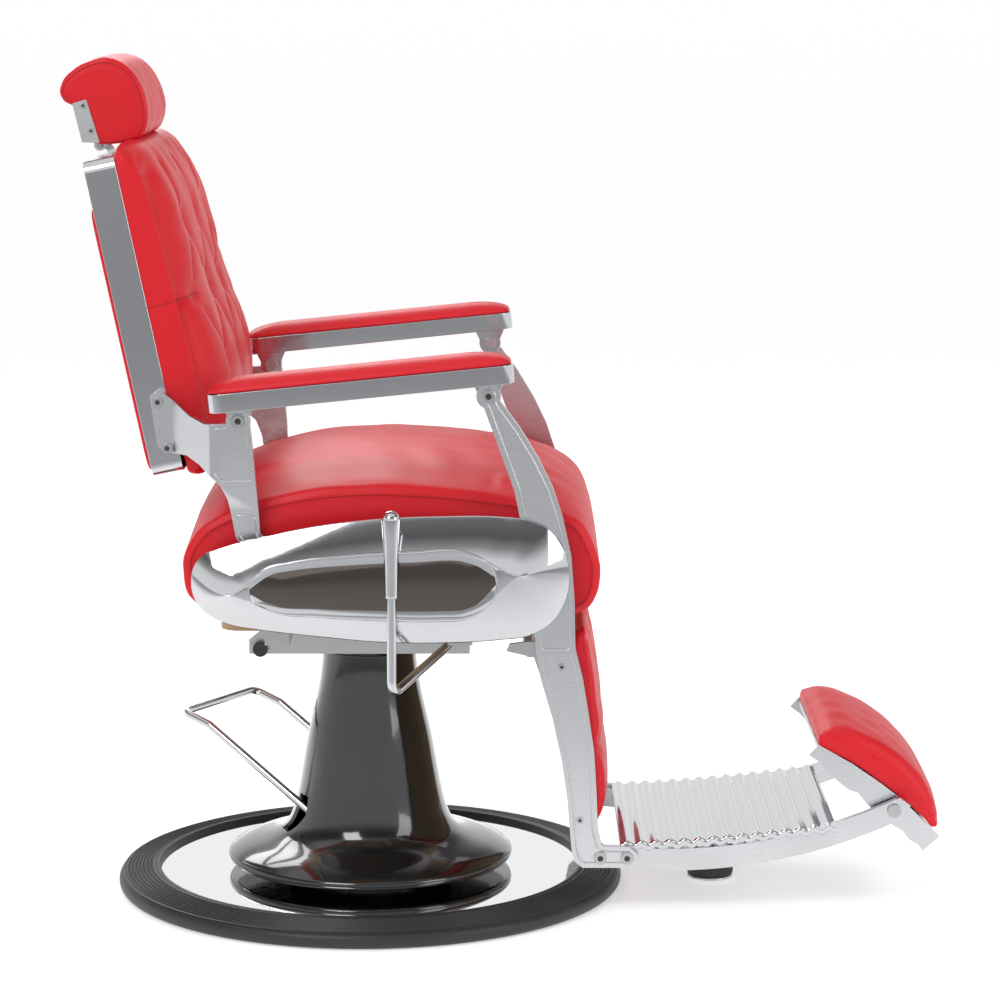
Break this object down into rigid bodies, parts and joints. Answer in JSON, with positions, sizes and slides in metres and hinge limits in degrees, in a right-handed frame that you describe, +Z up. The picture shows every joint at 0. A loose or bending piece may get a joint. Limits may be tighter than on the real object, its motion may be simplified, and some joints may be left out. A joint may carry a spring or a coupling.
{
  "type": "hydraulic barber chair",
  "caption": "Reclining hydraulic barber chair with a tufted back, tilting headrest, linked armrests and leg rest, and a flip-over footpad on a round pump base.",
  "frame": {"origin": "swivel axis at the floor, centre of the round base's underside", "axes": "+Z up, +X towards the front of the chair (the way the sitter faces), +Y to the sitter's left"},
  "size_m": [1.1028, 0.6959, 1.0625],
  "materials": {
    "steel": "zinc plated, satin",
    "dark_iron": "painted dark, matt",
    "mirror": "polished mirror",
    "rubber": "matt black, ribbed",
    "chrome": "polished chrome plate",
    "satin_aluminium": "brushed satin",
    "gloss_black": "glossy black",
    "black_plastic": "satin black",
    "red_leather": "smooth red upholstery leather",
    "smoked_mirror": "smoked grey mirror",
    "plywood": "plain plywood"
  },
  "bodies": {
    "base": {"base_plate": "dark_iron", "mirror_disc": "mirror", "rubber_rim": "rubber", "base_bolts": "steel", "pump_body": "dark_iron", "gland_nut": "steel", "cone_cover": "gloss_black", "pedal_pins": "steel"},
    "pedal": {"foot_pedal": "chrome"},
    "plunger": {"pump_plunger": "steel"},
    "ram": {"ram": "chrome", "swivel_washer": "steel"},
    "seat": {"seat_plate": "steel", "rear_cross_tube": "steel", "tube_caps": "black_plastic", "seat_cross_bars": "steel", "seat_side_plates": "steel", "seat_pivot_pins": "steel", "seat_board": "plywood", "seat_cushion": "red_leather", "right_side_cover": "chrome", "left_side_cover": "chrome", "cover_windows": "smoked_mirror", "cover_standoffs": "steel", "lock_cylinder": "steel"},
    "lever": {"lever_rod": "chrome", "lever_grip": "chrome"},
    "lock": {"lock_rod": "steel"},
    "back": {"back_frame": "chrome", "back_rear_panel": "red_leather", "headrest_guide": "steel", "back_cushion": "red_leather", "right_back_bracket": "satin_aluminium", "left_back_bracket": "satin_aluminium", "bracket_screws": "steel", "rear_arm_pins": "steel"},
    "headrest_bar": {"headrest_bar": "chrome"},
    "headrest": {"headrest_bracket": "satin_aluminium", "headrest_pin": "steel", "headrest_screws": "steel", "headrest_cushion": "red_leather"},
    "right_arm": {"right_arm_rail": "chrome", "right_arm_pad": "red_leather"},
    "left_arm": {"left_arm_rail": "chrome", "left_arm_pad": "red_leather"},
    "leg": {"right_leg_frame": "satin_aluminium", "left_leg_frame": "satin_aluminium", "leg_board": "plywood", "calf_pad": "red_leather", "leg_crank": "steel", "foot_rails": "satin_aluminium", "footrest_bolts": "steel", "foot_plate": "chrome", "foot_cross_bars": "steel", "bumper_foot": "black_plastic", "front_arm_pins": "steel"},
    "footpad": {"footpad_frame": "satin_aluminium", "footpad_shaft": "steel", "footpad_cushion": "red_leather"}
  },
  "joints": [
    {"name": "seat_lift", "type": "slide", "parent": "base", "child": "ram", "axis": [0, 0, 1], "range_m": [0, 0.16]},
    {"name": "pedal_press", "type": "hinge", "parent": "base", "child": "pedal", "pos_m": [0, 0, 0.077], "axis": [-0.515, -0.8572, 0], "range_deg": [0, 24], "stiffness_Nm_per_rad": 6, "springref_deg": -28.65},
    {"name": "pump_stroke", "type": "slide", "parent": "base", "child": "plunger", "axis": [0, 0, -1], "range_m": [0, 0.0256]},
    {"name": "seat_swivel", "type": "hinge", "parent": "ram", "child": "seat", "pos_m": [0, 0, 0.33], "axis": [0, 0, 1], "continuous": true},
    {"name": "recline", "type": "hinge", "parent": "seat", "child": "back", "pos_m": [-0.083, 0, 0.442], "axis": [0, -1, 0], "range_deg": [0, 45]},
    {"name": "leg_rise", "type": "hinge", "parent": "seat", "child": "leg", "pos_m": [0.2135, 0, 0.4715], "axis": [0, -1, 0], "range_deg": [0, 45]},
    {"name": "right_arm_link", "type": "hinge", "parent": "back", "child": "right_arm", "pos_m": [-0.142, -0.292, 0.64], "axis": [0, -1, 0], "range_deg": [-45, 0]},
    {"name": "left_arm_link", "type": "hinge", "parent": "back", "child": "left_arm", "pos_m": [-0.142, 0.292, 0.64], "axis": [0, -1, 0], "range_deg": [-45, 0]},
    {"name": "lock_slide", "type": "slide", "parent": "seat", "child": "lock", "axis": [1, 0, 0], "range_m": [0, 0.10085]},
    {"name": "lever_pull", "type": "hinge", "parent": "seat", "child": "lever", "pos_m": [0.104, -0.16, 0.35], "axis": [0, -1, 0], "range_deg": [0, 15], "stiffness_Nm_per_rad": 8, "springref_deg": -22.92},
    {"name": "headrest_height", "type": "slide", "parent": "back", "child": "headrest_bar", "axis": [-0.2028, 0, 0.9792], "range_m": [0, 0.1]},
    {"name": "headrest_tilt", "type": "hinge", "parent": "headrest_bar", "child": "headrest", "pos_m": [-0.333, 0, 0.951], "axis": [0, -1, 0], "range_deg": [0, 25]},
    {"name": "footpad_flip", "type": "hinge", "parent": "leg", "child": "footpad", "pos_m": [0.66, 0, 0.131], "axis": [0, 1, 0], "range_deg": [0, 110]}
  ],
  "couplings": [
    {"joint": "pump_stroke", "follows": "pedal_press", "m_per_rad": 0.0605},
    {"joint": "leg_rise", "follows": "recline", "ratio": 1},
    {"joint": "right_arm_link", "follows": "recline", "ratio": -1},
    {"joint": "left_arm_link", "follows": "recline", "ratio": -1},
    {"joint": "lock_slide", "follows": "recline", "m_per_rad": 0.12816}
  ]
}
